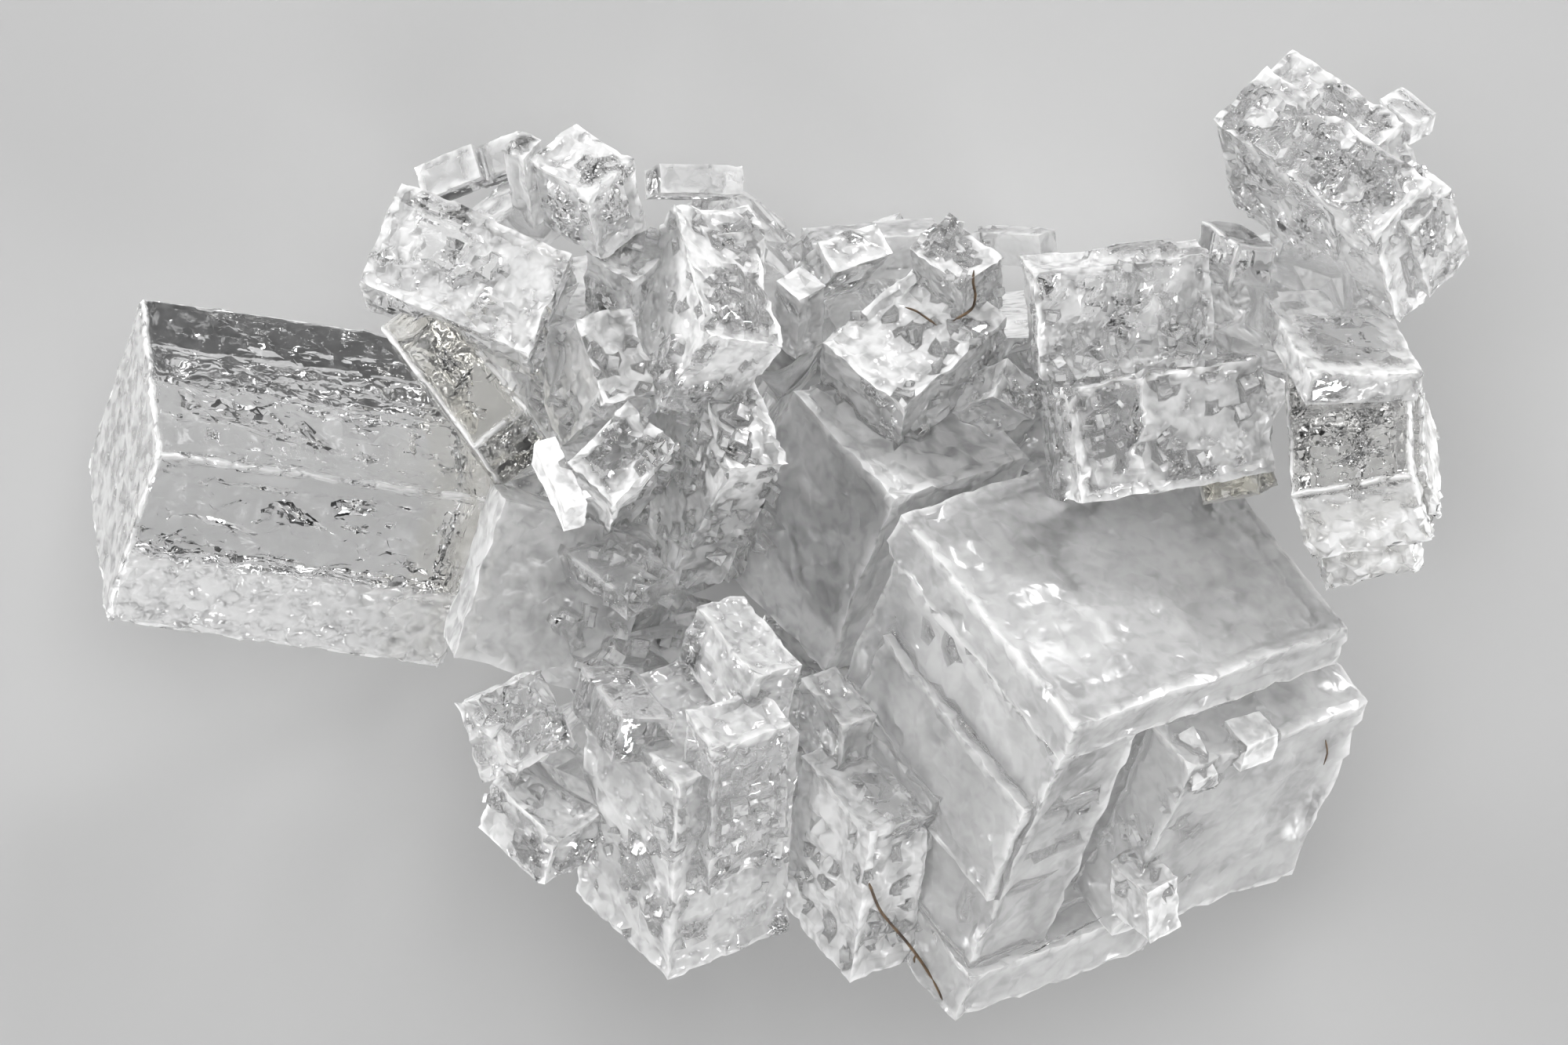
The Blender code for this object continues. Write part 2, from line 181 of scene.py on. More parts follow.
room = bpy.data.worlds.new("room")
room.use_nodes = True
room.node_tree.nodes["Background"].inputs["Color"].default_value = ROOM_COLOUR
room.node_tree.nodes["Background"].inputs["Strength"].default_value = ROOM_STRENGTH
bpy.context.scene.world = room
bpy.context.scene.view_settings.view_transform = "Standard"

for name, (bearing, rise, distance, width, height, radiance) in SOFT_BOXES.items():
    lamp_data = bpy.data.lights.new(name + " soft box", "AREA")
    lamp_data.shape = "RECTANGLE"
    lamp_data.size = width * MM
    lamp_data.size_y = height * MM
    lamp_data.energy = radiance * math.pi * width * height * MM * MM
    lamp = bpy.data.objects.new(name + " soft box", lamp_data)
    bearing, rise = math.radians(bearing), math.radians(rise)
    away = Vector((math.cos(bearing) * math.cos(rise), math.sin(bearing) * math.cos(rise), math.sin(rise)))
    lamp.location = away * distance * MM
    lamp.rotation_euler = away.to_track_quat("Z", "Y").to_euler()
    lamp.visible_camera = False
    bpy.context.scene.collection.objects.link(lamp)


# The cluster. About sixty cubes and boxes of rock salt, grown through each other into one piece. They
# stand CLUSTER_SHIFT away from the frame's origin.
CLUSTER_SHIFT = (-0.0604, 0.0612)
# Each crystal: its finish, its highest corner (x, y, z), and the three edges that leave that corner, as
# they look from above (dx, dy). Square edges that look so can only fall in one way.
CRYSTALS = {
    "long clear box": ("clear", (-4.46, 0.53, 3.4), (-0.14, 1.16), (-0.41, -1.23), (2.48, -0.35)),
    "frosted wall": ("smooth", (-1.94, 0.23, 3.45), (-0.39, -1.19), (1.17, -0.34), (-0.11, 0.14)),
    "upper left block": ("frosted", (-1.75, 1.22, 3.9), (0.35, 0.78), (-1.29, 0.55), (0.05, -0.22)),
    "clear bar": ("clear", (-2.16, 0.56, 3.65), (0.4, 0.3), (0.19, -0.31), (-0.7, 0.9)),
    "back plate": ("dull clear", (-2.11, 2.54, 2.9), (-0.43, -0.18), (-0.07, 0.26), (0.11, -0.05)),
    "second back plate": ("dull clear", (-1.77, 2.66, 2.8), (-0.41, -0.17), (-0.07, 0.24), (0.11, -0.05)),
    "top left cube": ("frosted", (-1.34, 2.39, 3.95), (0.39, 0.29), (-0.46, 0.3), (0.11, -0.54)),
    "top left splinter": ("crinkled", (-1.8, 2.66, 3.6), (-0.19, 0.07), (0.17, 0.17), (0.1, -0.54)),
    "small clear box": ("dull clear", (-0.8, 2.42, 3.1), (0.62, -0.01), (-0.01, 0.23), (-0.12, -0.05)),
    "small frosted cube": ("frosted", (-0.44, 2.13, 3.5), (0.42, 0.05), (-0.12, 0.21), (0.02, -0.4)),
    "rough peak": ("crumbly", (-0.44, 1.38, 4.25), (-0.3, 1.05), (0.63, -0.09), (-0.48, -0.63)),
    "window crystal": ("bright", (-1.13, 0.12, 4.05), (-0.39, 0.35), (0.48, 0.5), (-0.05, -0.34)),
    "bright shard": ("bright", (-1.49, 0.12, 4.05), (-0.24, 0.5), (0.18, 0.05), (-0.02, -0.17)),
    "dark wedge": ("dull clear", (-1.04, -0.53, 3.7), (-0.46, 0.35), (0.37, 0.2), (0.0, -0.17)),
    "heart slope": ("crumbly", (-0.3, 0.41, 3.9), (-0.4, 0.97), (0.51, 0.06), (-0.51, -0.97)),
    "above the heart": ("frosted", (-1.0, 1.75, 3.55), (-0.4, 0.25), (0.35, 0.3), (0.0, -0.7)),
    "heart left": ("bright", (-1.21, 0.86, 3.75), (-0.23, 0.68), (0.46, 0.11), (-0.34, -0.34)),
    "inner wedge": ("crinkled", (0.52, -1.47, 3.3), (-0.34, 0.4), (0.3, 0.12), (-0.06, -0.51)),
    "back slab": ("smooth", (0.3, 2.06, 2.75), (1.0, 0.09), (-0.01, -0.34), (-0.1, 0.14)),
    "back slab end": ("smooth", (1.95, 2.12, 3.1), (-0.5, 0.03), (0.03, -0.26), (0.14, 0.06)),
    "cube on the back slab": ("frosted", (0.47, 1.83, 3.25), (0.46, 0.16), (-0.15, 0.26), (-0.19, -0.23)),
    "rough cube": ("crumbly", (1.38, 1.71, 3.5), (-0.46, 0.35), (0.37, 0.3), (0.02, -0.43)),
    "bright block": ("bright", (0.96, 0.85, 3.65), (0.8, 0.68), (-0.64, 0.51), (-0.03, -0.41)),
    "round cube": ("bright", (0.21, 1.63, 3.35), (-0.2, 0.17), (0.22, 0.13), (-0.03, -0.45)),
    "middle corner": ("crinkled", (1.61, 0.95, 3.5), (0.13, 0.33), (0.33, -0.24), (-0.35, -0.14)),
    "square block": ("frosted", (2.1, 1.02, 4.1), (1.49, 0.24), (0.13, -0.9), (-0.24, 0.06)),
    "square block top": ("frosted", (1.88, 1.86, 3.85), (1.34, 0.13), (0.06, -0.85), (-0.1, 0.15)),
    "gap crystal": ("clear", (3.39, 2.05, 3.3), (-0.26, 0.2), (0.31, -0.03), (-0.13, -0.57)),
    "small rider": ("frosted", (4.66, 2.9, 3.75), (-0.26, 0.22), (0.19, 0.1), (-0.03, -0.17)),
    "shelf": ("frosted", (3.9, 1.1, 4.12), (0.87, 0.02), (-0.34, 0.63), (-0.05, -0.24)),
    "honey cube": ("crinkled", (3.52, 0.43, 3.65), (-0.45, -0.09), (0.14, 0.07), (0.05, -0.22)),
    "smooth block": ("milky", (0.92, 0.18, 3.72), (-0.8, 0.85), (1.05, 0.34), (-0.55, -1.33)),
    "front step cube": ("bright", (2.73, -2.67, 3.2), (-0.3, 0.26), (0.26, 0.14), (0.03, -0.4)),
    "bright front block": ("bright", (0.71, -2.23, 3.52), (-0.54, 0.61), (0.51, 0.16), (-0.14, -1.13)),
    "peaked block": ("soft", (-0.1, -1.09, 4.2), (-0.48, 0.57), (0.4, 0.09), (-0.14, -0.46)),
    "dark column": ("soft", (-0.4, -1.64, 4.45), (-0.26, 0.34), (0.6, 0.23), (-0.07, -1.03)),
    "front left block": ("soft", (-0.67, -1.87, 4.1), (-0.72, 0.68), (0.93, 0.385), (-0.09, -1.49)),
    "dark crystal": ("dull clear", (-1.07, -1.39, 3.95), (-0.32, 0.4), (0.41, 0.0), (-0.09, -0.34)),
    "lower left clear cube": ("crinkled", (-2.13, -1.23, 3.85), (-0.24, -0.06), (0.51, 0.26), (0.26, -0.63)),
    "front step wedge": ("bright", (3.05, -1.9, 3.62), (-0.2, 0.35), (0.22, 0.12), (0.01, -0.3)),
    "slab cube": ("bright", (3.45, -1.6, 3.5), (-0.17, 0.2), (0.28, 0.1), (-0.05, -0.22)),
    "lower left frosted cube": ("frosted", (-1.54, -2.3, 3.2), (-0.52, 0.49), (0.4, 0.23), (-0.13, -0.38)),
}
# Crystals with parts that stand back from each other. Each part spans shares of the three edges.
BUILT_UP_CRYSTALS = {
    "biggest cube": (
        ("milky", (2.21, -1.47, 4.8), (-1.31, 1.6), (2.08, 0.74), (-0.92, -2.13)),
        {
            "body": ((0.1, 0.98), (0.03, 0.97), (0.1, 0.99)),
            "top slab": ((0.0, 1.0), (0.0, 1.0), (0.0, 0.15)),
            "column": ((0.01, 0.97), (0.01, 0.32), (0.12, 0.985)),
            "foot ledge": ((-0.03, 0.5), (-0.01, 0.7), (0.83, 1.01)),
            "parallel block": ((-0.11, 0.55), (0.42, 1.09), (0.2, 0.82)),
            "side step": ((0.03, 0.86), (-0.022, 0.3), (0.3, 0.64)),
            "lower side step": ((0.36, 0.95), (-0.04, 0.3), (0.52, 0.93)),
        },
    ),
    "upper right box": (
        ("frosted", (4.37, 2.09, 4.3), (-1.23, 0.88), (0.63, 0.6), (0.2, -0.68)),
        {
            "body": ((0.0, 1.0), (0.0, 0.72), (0.0, 1.0)),
            "back half": ((0.3, 0.99), (0.01, 1.0), (0.01, 0.97)),
            "right end": ((-0.03, 0.25), (0.3, 0.86), (0.15, 0.92)),
            "right end, low": ((0.02, 0.5), (0.25, 0.82), (0.5, 1.07)),
        },
    ),
    "hanging box": (
        ("clear", (4.66, 0.38, 4.16), (-0.91, -0.16), (-0.03, 0.91), (0.17, -0.49)),
        {
            "body": ((0.0, 1.0), (0.0, 1.0), (0.0, 1.0)),
            "lower step": ((0.2, 0.98), (0.08, 0.9), (0.9, 1.55)),
            "side plate": ((-0.07, 0.2), (0.1, 0.8), (0.15, 0.85)),
        },
    ),
}
# The hidden side: crystals broken off level at the floor, and cubes that lean between them (centre, size,
# turn about X, Y and Z in degrees).
FOOT_CRYSTALS = {
    "heart foot": ((-0.8, 0.45, 1.05), (1.5, 1.35, 2.9), (15, -17, 18)),
    "main foot": ((1.3, -0.4, 0.95), (1.7, 1.5, 2.7), (-13, 11, -24)),
    "back foot": ((1.85, 1.1, 1.1), (1.3, 1.1, 2.8), (9, 16, 8)),
    "front foot": ((-0.5, -1.25, 1.0), (1.15, 1.1, 2.6), (-16, -12, 33)),
    "middle foot": ((0.45, 0.9, 0.85), (1.25, 1.15, 2.5), (12, -9, 55)),
}
LEANING_CUBES = {
    "under the upper left block": ((-1.35, 1.25, 2.2), (1.1, 1.1, 1.3), (35, 20, 10)),
    "left of the heart foot": ((-1.4, 0.0, 1.35), (1.15, 1.0, 1.1), (25, 35, 20)),
    "back middle": ((0.65, 1.4, 1.5), (1.2, 1.2, 1.3), (20, -30, 25)),
    "back edge": ((-0.35, 1.9, 2.3), (0.9, 0.8, 1.0), (30, -20, 45)),
    "under the biggest cube": ((2.45, -0.85, 1.15), (1.2, 1.2, 1.2), (-25, 15, 40)),
    "right of the main foot": ((2.65, 0.15, 1.7), (1.2, 1.0, 1.1), (20, -25, 60)),
    "front middle": ((0.35, -1.5, 1.6), (1.1, 1.0, 1.5), (30, 25, -15)),
    "front of the main foot": ((1.5, -2.0, 1.1), (1.1, 1.0, 1.2), (-20, -35, 30)),
    "left middle": ((-1.1, -0.75, 1.9), (1.0, 1.0, 1.3), (40, 10, 20)),
    "lower left": ((-1.4, -1.75, 2.35), (0.9, 0.8, 0.9), (15, 30, 50)),
    "under the square block": ((2.9, 1.05, 2.1), (1.2, 1.1, 1.4), (15, 35, -20)),
    "bridge": ((3.45, 1.62, 2.85), (1.0, 0.5, 0.8), (10, -12, -22)),
    "low bridge": ((3.55, 1.6, 2.2), (0.8, 0.8, 0.9), (40, 15, 10)),
    "under the upper right box": ((4.2, 1.95, 2.75), (0.95, 0.8, 0.9), (25, 40, 15)),
    "back left": ((-1.8, 2.25, 2.75), (0.9, 0.5, 0.7), (20, 30, 35)),
    "behind the hanging box": ((4.25, 0.95, 3.25), (0.7, 0.9, 0.6), (-12, 8, 5)),
}

# How the faces of each kind of crystal are finished. spacing is the distance between the points of a
# face. layers and layer are the number and depth of its ragged growth layers, pits and pit the number on
# a square millimetre and the depth of its square pits, and windows the number of flat clear windows on a
# square millimetre. chip, wave and grain are the depths of its chipped edges, slow waves and grain.
# frost, milk and worn edges go to the material.
FINISH_TERMS = (
    "spacing", "layers", "layer", "pits", "pit", "windows", "chip", "wave", "grain", "frost", "milk", "worn"
)
FINISHES = {
    "clear": (0.066, 2, 0.006, 1.5, 0.02, 0, 0.03, 0.002, 0.0004, 0.06, 0.0, 1.0),
    "dull clear": (0.066, 2, 0.006, 3, 0.02, 0, 0.03, 0.003, 0.0015, 0.12, 0.0, 0.35),
    "smooth": (0.075, 3, 0.01, 16, 0.015, 0.3, 0.03, 0.006, 0.004, 0.3, 0.25, 0.2),
    "milky": (0.08, 5, 0.012, 20, 0.016, 0, 0.045, 0.014, 0.0045, 0.22, 0.42, 0.45),
    "frosted": (0.0555, 6, 0.012, 45, 0.028, 3.5, 0.03, 0.004, 0.0035, 0.65, 0.0, 0.5),
    "crinkled": (0.053, 6, 0.016, 75, 0.032, 2.5, 0.035, 0.008, 0.007, 0.6, 0.0, 0.4),
    "crumbly": (0.053, 6, 0.02, 90, 0.035, 2, 0.035, 0.01, 0.009, 0.7, 0.03, 0.4),
    "soft": (0.0575, 5, 0.012, 30, 0.024, 0.8, 0.03, 0.01, 0.0045, 0.5, 0.1, 0.3),
    "bright": (0.0555, 4, 0.012, 40, 0.028, 1.5, 0.03, 0.006, 0.006, 0.85, 0.12, 0.5),
    "hidden": (0.18, 3, 0.02, 3, 0.04, 0, 0.05, 0.012, 0.012, 0.62, 0.0, 0.0),
}
WINDOW_HALF_SIZE = (0.05, 0.22)
# Clear windows at set places, on faces at the crystal's highest corner: the edge that the face stands
# across, then the window's start and end as shares of the following edge and of the one after that.
PANES = {
    "upper left block": (
        (2, 0.4, 0.75, 0.66, 0.8),
        (2, 0.38, 0.75, 0.48, 0.6),
        (2, 0.42, 0.7, 0.34, 0.42),
        (1, 0.1, 0.7, 0.03, 0.35),
    ),
    "top left cube": (
        (0, 0.4, 0.8, 0.35, 0.9),
        (1, 0.2, 0.65, 0.3, 0.7),
    ),
    "small frosted cube": ((1, 0.05, 0.6, 0.05, 0.5),),
    "square block top": (
        (2, 0.3, 0.37, 0.08, 0.5),
        (2, 0.43, 0.52, 0.05, 0.62),
        (2, 0.57, 0.62, 0.1, 0.5),
        (2, 0.68, 0.76, 0.05, 0.55),
        (2, 0.87, 0.94, 0.35, 0.5),
    ),
    "upper right box, back half": ((2, 0.05, 0.6, 0.74, 0.94),),
    "upper right box, right end": ((0, 0.1, 0.7, 0.05, 0.5),),
    "shelf": ((2, 0.2, 0.8, 0.15, 0.7),),
    "bright front block": (
        (2, 0.05, 0.6, 0.35, 0.95),
        (0, 0.35, 0.9, 0.0, 0.14),
    ),
    "bright block": ((0, 0.25, 0.5, 0.1, 0.4),),
    "rough peak": ((2, 0.1, 0.55, 0.35, 0.85),),
    "window crystal": ((2, 0.3, 0.9, 0.1, 0.8),),
    "lower left clear cube": (
        (0, 0.1, 0.38, 0.05, 0.4),
        (0, 0.5, 0.72, 0.05, 0.4),
        (0, 0.45, 0.95, 0.5, 0.7),
        (0, 0.6, 1.0, 0.8, 0.95),
    ),
}
# The clear crystals' points stand closer together beside their edges, for crisp chips. CRISPEST is the
# wear that marks them, and they need room for this share of the first gap.
RIM_STEPS = (0.014, 0.034)
RIM_ROOM = 0.7
CRISPEST = 1.0
# The points stray sideways by up to this share of the distance between them.
POINT_PLAY = 0.32
# Stretches of a crystal with another frost or milk, or with a tint of honey: which of them, the edge that
# the stretch runs along, its start and end as shares of that edge, and the value there. A stretch is
# roughened by ROUGHENING times the frost that it has beyond its finish.
BANDS = {
    "long clear box": (
        ("frost", 1, 0.6, 1.0, 0.65),
        ("milk", 1, 0.68, 1.0, 0.1),
        ("frost", 2, -0.1, 0.001, 0.5),
        ("tint", 2, 0.92, 1.1, 0.4),
    ),
    "hanging box": (
        ("frost", 0, -0.1, 0.0, 0.5),
        ("frost", 2, 0.08, 0.5, 0.6),
        ("frost", 2, 0.5, 1.1, 1.0),
        ("tint", 2, 0.2, 1.1, 0.3),
    ),
    "honey cube": (("tint", 0, -0.1, 1.1, 0.8), ("frost", 0, -0.1, 1.1, 0.15)),
    "dark column": (("frost", 2, 0.04, 0.8, 0.25), ("milk", 2, 0.04, 0.8, 0.05)),
    "back plate": (("frost", 2, -0.1, 0.0, 0.35),),
    "second back plate": (("frost", 2, -0.1, 0.0, 0.35),),
    "small clear box": (("frost", 2, -0.1, 0.0, 0.35),),
    "heart slope": (
        ("frost", 1, -0.1, 0.0, 1.0),
        ("milk", 1, -0.1, 0.0, 0.25),
        ("frost", 0, -0.1, 0.0, 0.8),
        ("frost", 2, -0.1, 0.0, 0.7),
    ),
    "heart left": (("frost", 0, -0.1, 0.0, 1.0), ("frost", 1, -0.1, 0.0, 0.8)),
    "bright shard": (("frost", 0, -0.1, 1.1, 1.0), ("milk", 0, -0.1, 1.1, 0.3)),
    "frosted wall": (("frost", 0, -0.1, 1.1, 0.5),),
    "smooth block": (
        ("frost", 2, -0.1, 0.0, 0.6),
        ("frost", 1, -0.1, 0.0, 0.4),
        ("frost", 0, -0.1, 0.0, 0.4),
    ),
    "bright front block": (("frost", 1, -0.1, 0.0, 1.0), ("milk", 1, -0.1, 0.0, 0.2)),
    "window crystal": (("frost", 0, -0.1, 0.0, 1.0),),
    "clear bar": (("tint", 1, 0.5, 1.1, 0.6),),
}
ROUGHENING = 0.015
# Growth layers end in stairs and stray along their ends. They reach over a share of each side, and their
# depths vary.
LAYER_STAIR = 0.12
LAYER_STRAY = 0.1
LAYER_STRAY_STEP = 0.3
LAYER_REACH = (0.15, 1.1)
LAYER_SHARE = (0.4, 1.6)
# A pit reaches so many points each way, and is a share of the finish's depth.
PIT_REACH = (1, 5)
PIT_SHARE = (0.3, 1.0)
# Layers and pits fade to a share of their depth towards a face's edges, over this distance.
CRISP_EDGE = 0.12
CRISP_SHARE = 0.35
# Chips run along the edges: their least width and what lumps add to it, their least share of the depth,
# and the size of the lumps in them and in the slow waves.
CHIP_WIDTH = (0.01, 0.09)
CHIP_SHARE = 0.2
CHIP_LUMP = 0.12
WAVE_LUMP = 0.3
# A window lies a few layers deep. Its outline is ragged, and it keeps little grain and rime.
WINDOW_LAYERS = (1, 3)
WINDOW_RAGGED = 0.025
WINDOW_GRAIN = 0.2
WINDOW_RIME = 0.12
# Relief reaches EDGE_REACH into a crystal at most, and is no deeper than a share of that. Crystals thinner
# than FULL_RELIEF_SIZE have shallower relief. EDGE_BAND is the width of a worn edge.
EDGE_REACH = 0.2
DEEPEST_SHARE = 0.45
FULL_RELIEF_SIZE = 0.5
EDGE_BAND = 0.03
# How far apart the crystals' places in the noise are.
PLACE_SPREAD = 50
CRYSTAL_SEED = 5


def corner_frame(corner, *plan_edges):
    """The corner and the three real edges of a box whose edges look like plan_edges from straight above."""
    plans = [Vector(edge) for edge in plan_edges]
    edges = []
    for i in range(3):
        j, k = (i + 1) % 3, (i + 2) % 3
        fall = math.sqrt(plans[i].dot(plans[j]) * plans[i].dot(plans[k]) / -plans[j].dot(plans[k]))
        edges.append(Vector((plans[i].x, plans[i].y, -fall)))
    return Vector(corner), edges


def centred_frame(centre, size, turn):
    """The same for a box given by its centre, its size and its turn in degrees."""
    spin = Euler([math.radians(angle) for angle in turn]).to_matrix()
    edges = [spin.col[i] * size[i] for i in range(3)]
    return Vector(centre) - sum(edges, Vector()) / 2, edges


def part_frame(whole, spans):
    """The frame of a part that covers the given shares of a crystal's edges."""
    corner, edges = whole
    start = sum((edge * span[0] for edge, span in zip(edges, spans)), corner.copy())
    return start, [edge * (span[1] - span[0]) for edge, span in zip(edges, spans)]


def grid_lines(length, finish):
    """Where the points of a face stand along one side."""
    lines = np.linspace(0, length, max(2, int(round(length / finish["spacing"]))) + 1)
    near = np.array([step for step in RIM_STEPS if finish["worn"] == CRISPEST and step < RIM_ROOM * lines[1]])
    return np.unique(np.concatenate([lines, near, length - near]))


def smooth_noise(rng, u, v, size):
    """Noise from 0 to 1 over the points of a face, in soft lumps of about the given size."""
    cells = [max(2, int(line[-1] / size)) for line in (u, v)]
    lumps = rng.random((cells[0] + 2, cells[1] + 2))
    places = [line / line[-1] * count for line, count in zip((u, v), cells)]
    starts = [place.astype(int) for place in places]
    blends = [(place - start) ** 2 * (3 - 2 * (place - start)) for place, start in zip(places, starts)]
    i, j = starts[0][:, None], starts[1][None, :]
    s, t = blends[0][:, None], blends[1][None, :]
    near = lumps[i, j] * (1 - t) + lumps[i, j + 1] * t
    far = lumps[i + 1, j] * (1 - t) + lumps[i + 1, j + 1] * t
    return near * (1 - s) + far * s


def ragged_end(rng, count):
    """How far the end of a growth layer strays at each point of a side."""
    stairs = LAYER_STAIR * rng.random(count).repeat(2)[:count]
    return stairs + LAYER_STRAY * np.cumsum(rng.normal(0, LAYER_STRAY_STEP, count)) / count


def face_depths(rng, u, v, finish, panes):
    """How far each point of a face is let down, and which of its points are in a window."""
    shape = (len(u), len(v))
    sides = (u[-1], v[-1])
    across, up = u[:, None], v[None, :]
    depth = np.zeros(shape)
    for _ in range(finish["layers"]):
        ragged = [ragged_end(rng, count) for count in shape]
        edge_u = sides[0] * rng.uniform(*LAYER_REACH) + ragged[1][None, :]
        edge_v = sides[1] * rng.uniform(*LAYER_REACH) + ragged[0][:, None]
        inside_u = (across if rng.random() < 0.5 else sides[0] - across) < edge_u
        inside_v = (up if rng.random() < 0.5 else sides[1] - up) < edge_v
        depth += np.where(inside_u & inside_v, 0.0, finish["layer"] * rng.uniform(*LAYER_SHARE))
    for _ in range(rng.poisson(finish["pits"] * sides[0] * sides[1])):
        middle = rng.integers(0, shape[0]), rng.integers(0, shape[1])
        reach = rng.integers(*PIT_REACH), rng.integers(*PIT_REACH)
        rows, columns = (slice(max(1, place - far), place + far) for place, far in zip(middle, reach))
        depth[rows, columns] += finish["pit"] * rng.uniform(*PIT_SHARE)
    to_edge = np.minimum(np.minimum(across, sides[0] - across), np.minimum(up, sides[1] - up))
    depth *= np.clip(to_edge / CRISP_EDGE, CRISP_SHARE, 1)
    width = CHIP_WIDTH[1] * smooth_noise(rng, u, v, CHIP_LUMP) ** 2 + CHIP_WIDTH[0]
    chips = finish["chip"] * np.clip(1 - to_edge / width, 0, 1)
    depth += chips * (CHIP_SHARE + (1 - CHIP_SHARE) * smooth_noise(rng, u, v, CHIP_LUMP))
    depth += finish["wave"] * smooth_noise(rng, u, v, WAVE_LUMP)
    depth += finish["grain"] * np.abs(rng.normal(0, 1, shape))
    windows = np.zeros(shape, bool)
    spans = []
    for _ in range(rng.poisson(finish["windows"] * sides[0] * sides[1])):
        spans.append([(rng.uniform(0, side), rng.uniform(*WINDOW_HALF_SIZE)) for side in sides])
    for pane in panes:
        ends = ((pane[0], pane[1]), (pane[2], pane[3]))
        spans.append([(side * (a + b) / 2, side * (b - a) / 2) for side, (a, b) in zip(sides, ends)])
    for (middle_u, half_u), (middle_v, half_v) in spans:
        ragged = [WINDOW_RAGGED * rng.normal(0, 1, count) for count in shape]
        inside_u = np.abs(across - middle_u) < half_u + ragged[1][None, :]
        window = inside_u & (np.abs(up - middle_v) < half_v + ragged[0][:, None])
        level = finish["layer"] * rng.uniform(*WINDOW_LAYERS)
        depth[window] = (level + WINDOW_GRAIN * finish["grain"] * rng.normal(0, 1, shape))[window]
        windows |= window
    return depth, windows


def box_grid(lines):
    """The points on a box's six faces, each by its numbers on the three lines, and the quads between them."""
    points, quads = [], []
    for axis in range(3):
        u, v = (axis + 1) % 3, (axis + 2) % 3
        grid_u, grid_v = np.meshgrid(np.arange(len(lines[u])), np.arange(len(lines[v])), indexing="ij")
        numbers = np.arange(grid_u.size).reshape(grid_u.shape)
        ring = [numbers[:-1, :-1], numbers[1:, :-1], numbers[1:, 1:], numbers[:-1, 1:]]
        for side in (0, 1):
            place = np.zeros((grid_u.size, 3), int)
            place[:, axis] = side * (len(lines[axis]) - 1)
            place[:, u] = grid_u.ravel()
            place[:, v] = grid_v.ravel()
            quad = np.stack([corner.ravel() for corner in ring], axis=1) + sum(map(len, points))
            points.append(place)
            quads.append(quad if side else quad[:, ::-1])
    places, weld = np.unique(np.concatenate(points), axis=0, return_inverse=True)
    return places, weld.reshape(-1)[np.concatenate(quads)]


def crystal_mesh(box, finish_name, rng, bands=(), panes=(), level_foot=False):
    """A box with relief on its six faces. Each point keeps what the material needs to know about it."""
    finish = dict(zip(FINISH_TERMS, FINISHES[finish_name]))
    corner, edges = box
    lengths = np.array([edge.length for edge in edges])
    lines = [grid_lines(length, finish) for length in lengths]
    thin = min(1.0, min(lengths) / FULL_RELIEF_SIZE)
    places, faces = box_grid(lines)
    local = np.stack([lines[axis][places[:, axis]] for axis in range(3)], axis=1)
    moved = local.copy()
    rimed = np.ones(len(local))
    for axis in range(3):
        u, v = (axis + 1) % 3, (axis + 2) % 3
        reach = min(EDGE_REACH, lengths[axis] / 2)
        for side, inward in ((0, 1), (1, -1)):
            face_panes = [pane[1:] for pane in panes if side == 0 and pane[0] == axis]
            depth, windows = face_depths(rng, lines[u], lines[v], finish, face_panes)
            drop = np.minimum(thin * depth, DEEPEST_SHARE * reach)[places[:, u], places[:, v]]
            from_face = local[:, axis] if side == 0 else lengths[axis] - local[:, axis]
            moved[:, axis] += inward * np.clip(1 - from_face / reach, 0, 1) * drop
            rimed[(from_face == 0) & windows[places[:, u], places[:, v]]] = WINDOW_RIME
    from_sides = np.sort(np.minimum(local, lengths - local), axis=1)
    skin = {
        "frost": finish["frost"] * rimed,
        "milk": finish["milk"] * rimed,
        "edge": finish["worn"] * np.clip(1 - from_sides[:, 1] / EDGE_BAND, 0, 1),
        "tint": np.zeros(len(local)),
    }
    for name, axis, start, end, value in bands:
        share = local[:, axis] / lengths[axis]
        skin[name] = np.where((share >= start) & (share <= end), value, skin[name])
    if bands:
        rougher = ROUGHENING * np.clip(skin["frost"] - finish["frost"], 0, 1)
        moved += rougher[:, None] * rng.normal(0, 1, moved.shape)
    for axis in range(3):
        gaps = np.diff(lines[axis])
        play = np.concatenate([[0], np.minimum(gaps[1:], gaps[:-1]), [0]])[places[:, axis]]
        moved[:, axis] += POINT_PLAY * play * rng.uniform(-1, 1, len(play))
    directions = np.array([edge.normalized() for edge in edges])
    mesh = bpy.data.meshes.new("crystal")
    mesh.from_pydata((np.array(corner) + moved @ directions).tolist(), [], faces.tolist())
    for name, values in skin.items():
        mesh.attributes.new(name, "FLOAT", "POINT").data.foreach_set("value", values.astype(np.float32))
    place = mesh.attributes.new("place", "FLOAT_VECTOR", "POINT")
    place.data.foreach_set("vector", (local + rng.uniform(0, PLACE_SPREAD, 3)).astype(np.float32).ravel())
    if Matrix(edges).determinant() < 0:
        mesh.flip_normals()
    if level_foot:
        cut_level(mesh)
    return mesh


def cut_level(mesh):
    """Breaks a crystal off level at the floor."""
    bm = bmesh.new()
    bm.from_mesh(mesh)
    geometry = bm.verts[:] + bm.edges[:] + bm.faces[:]
    cut = bmesh.ops.bisect_plane(bm, geom=geometry, plane_co=(0, 0, 0), plane_no=(0, 0, -1), clear_outer=True)
    rim = [item for item in cut["geom_cut"] if isinstance(item, bmesh.types.BMEdge)]
    bmesh.ops.holes_fill(bm, edges=rim)
    bm.to_mesh(mesh)
    bm.free()


